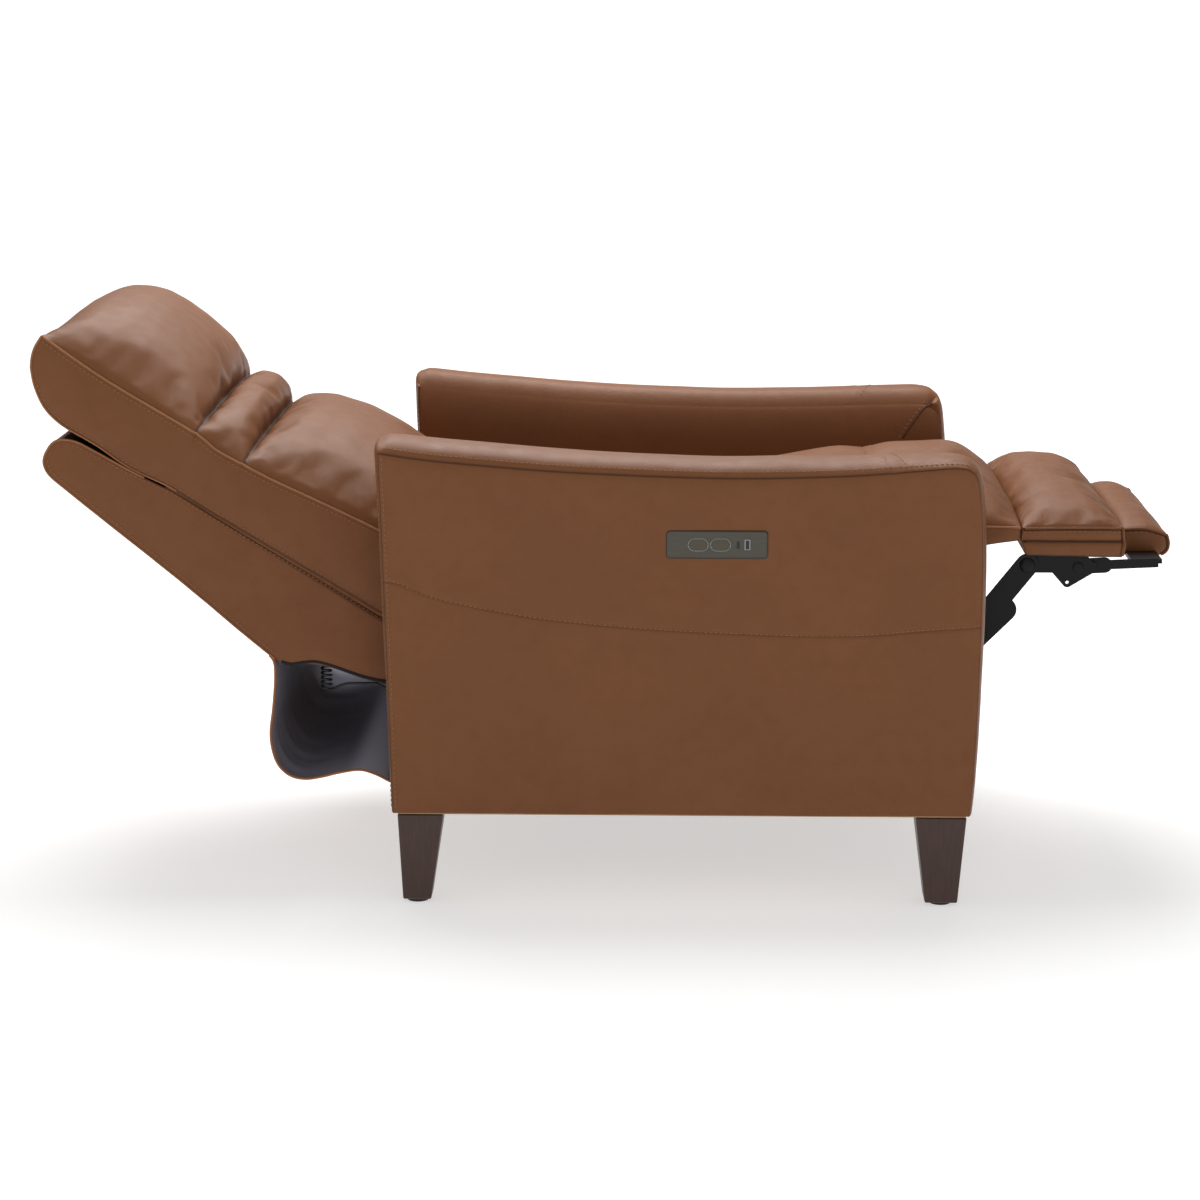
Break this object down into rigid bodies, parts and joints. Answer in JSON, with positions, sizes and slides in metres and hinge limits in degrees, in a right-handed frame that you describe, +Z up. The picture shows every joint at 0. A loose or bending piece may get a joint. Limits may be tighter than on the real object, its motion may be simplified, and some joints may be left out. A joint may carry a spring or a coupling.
{
  "type": "recliner armchair",
  "caption": "Leather power reclining armchair, stored fully reclined: fixed arms, tapered wooden legs, pivoting back with tilting headrest, fold-out footrest and a keypad with USB sockets.",
  "frame": {"origin": "on the floor, under the middle of the box around the fully reclined chair", "axes": "+X the way the sitter faces, +Y to the sitter's left, +Z up"},
  "size_m": [1.6178, 0.793, 0.8503],
  "materials": {
    "leather": "caramel brown top-grain leather, semi-aniline, soft sheen",
    "frame_timber": "raw plywood and pine",
    "leg_wood": "dark walnut stain, satin lacquer",
    "black_steel": "black powder coat",
    "zinc_steel": "zinc-plated steel",
    "rail_aluminium": "extruded, matt",
    "black_plastic": "moulded black plastic",
    "plate_metal": "dark gunmetal, satin",
    "button_finish": "bronze-grey keys with a bright edge"
  },
  "bodies": {
    "base": {"arm_cover_right": "leather", "arm_cover_left": "leather", "arm_frame_right": "frame_timber", "arm_frame_left": "frame_timber", "front_rail": "frame_timber", "front_rail_cover": "leather", "rear_rail": "frame_timber", "leg_front_right": "leg_wood", "leg_front_left": "leg_wood", "leg_rear_right": "leg_wood", "leg_rear_left": "leg_wood", "leg_glides": "black_plastic", "leg_bolts": "zinc_steel", "control_plate": "plate_metal", "switch_housing": "black_plastic", "usb_a_port": "zinc_steel", "usb_c_port": "black_plastic", "base_plates": "black_steel", "cross_tubes": "black_steel", "rear_pivot_pins": "zinc_steel", "recline_motor": "black_plastic", "actuator_rail": "rail_aluminium", "power_inlet": "black_plastic", "rear_flap": "leather"},
    "recline_button": {"recline_button": "button_finish"},
    "headrest_button": {"headrest_button": "button_finish"},
    "actuator_nut": {"actuator_nut": "black_plastic"},
    "seat": {"seat_rails": "black_steel", "seat_frame": "frame_timber", "seat_springs": "zinc_steel", "seat_cushion": "leather", "seat_apron": "leather", "chaise_pad": "leather", "chaise_bridge": "leather"},
    "lower_links": {"lower_links": "black_steel", "drive_tube": "black_steel", "knee_pins": "zinc_steel"},
    "upper_links": {"upper_links": "black_steel", "footrest_pins": "zinc_steel"},
    "footrest": {"footrest_brackets": "black_steel", "footrest_board": "frame_timber", "footrest_pad": "leather", "extension_pins": "zinc_steel"},
    "extension": {"extension_arms": "black_steel", "extension_board": "black_steel", "extension_pad": "leather"},
    "back": {"back_brackets": "black_steel", "back_frame": "frame_timber", "back_springs": "zinc_steel", "back_core": "leather", "back_pad": "leather", "lumbar_roll": "leather", "back_shell": "leather", "headrest_motor": "black_plastic", "headrest_hinges": "black_steel", "headrest_lead": "black_plastic"},
    "headrest": {"headrest_frame": "black_steel", "head_core": "leather", "head_pillow": "leather"}
  },
  "joints": [
    {"name": "back_recline", "type": "hinge", "parent": "base", "child": "back", "pos_m": [-0.2429, 0, 0.3], "axis": [0, 1, 0], "range_deg": [0, 40], "deforming": ["rear_flap", "headrest_lead"]},
    {"name": "seat_tilt", "type": "hinge", "parent": "base", "child": "seat", "pos_m": [-0.2429, 0, 0.3], "axis": [0, 1, 0], "range_deg": [0, 6]},
    {"name": "headrest_tilt", "type": "hinge", "parent": "back", "child": "headrest", "pos_m": [-0.5879, 0, 0.648], "axis": [0, 1, 0], "range_deg": [-3, 28]},
    {"name": "legrest_lift", "type": "hinge", "parent": "seat", "child": "lower_links", "pos_m": [0.3831, 0, 0.428], "axis": [0, 1, 0], "range_deg": [0, 33.5], "deforming": ["chaise_bridge"]},
    {"name": "upper_link_fold", "type": "hinge", "parent": "lower_links", "child": "upper_links", "pos_m": [0.51024, 0, 0.3604], "axis": [0, 1, 0], "range_deg": [-67, 0]},
    {"name": "footrest_fold", "type": "hinge", "parent": "upper_links", "child": "footrest", "pos_m": [0.5989, 0, 0.47387], "axis": [0, 1, 0], "range_deg": [0, 117.5]},
    {"name": "extension_flip", "type": "hinge", "parent": "footrest", "child": "extension", "pos_m": [0.6719, 0, 0.46987], "axis": [0, 1, 0], "range_deg": [0, 90]},
    {"name": "actuator_slide", "type": "slide", "parent": "base", "child": "actuator_nut", "axis": [-1, 0, 0], "range_m": [0, 0.03]},
    {"name": "recline_press", "type": "slide", "parent": "base", "child": "recline_button", "axis": [0, 1, 0], "range_m": [0, 0.0015], "stiffness_N_per_m": 800, "springref_m": -0.0005},
    {"name": "headrest_press", "type": "slide", "parent": "base", "child": "headrest_button", "axis": [0, 1, 0], "range_m": [0, 0.0015], "stiffness_N_per_m": 800, "springref_m": -0.0005}
  ],
  "couplings": [
    {"joint": "seat_tilt", "follows": "back_recline", "ratio": 0.15},
    {"joint": "upper_link_fold", "follows": "legrest_lift", "ratio": -2},
    {"joint": "footrest_fold", "follows": "legrest_lift", "ratio": 3.5075},
    {"joint": "extension_flip", "follows": "legrest_lift", "ratio": 2.6866},
    {"joint": "actuator_slide", "follows": "legrest_lift", "m_per_rad": 0.05131}
  ]
}
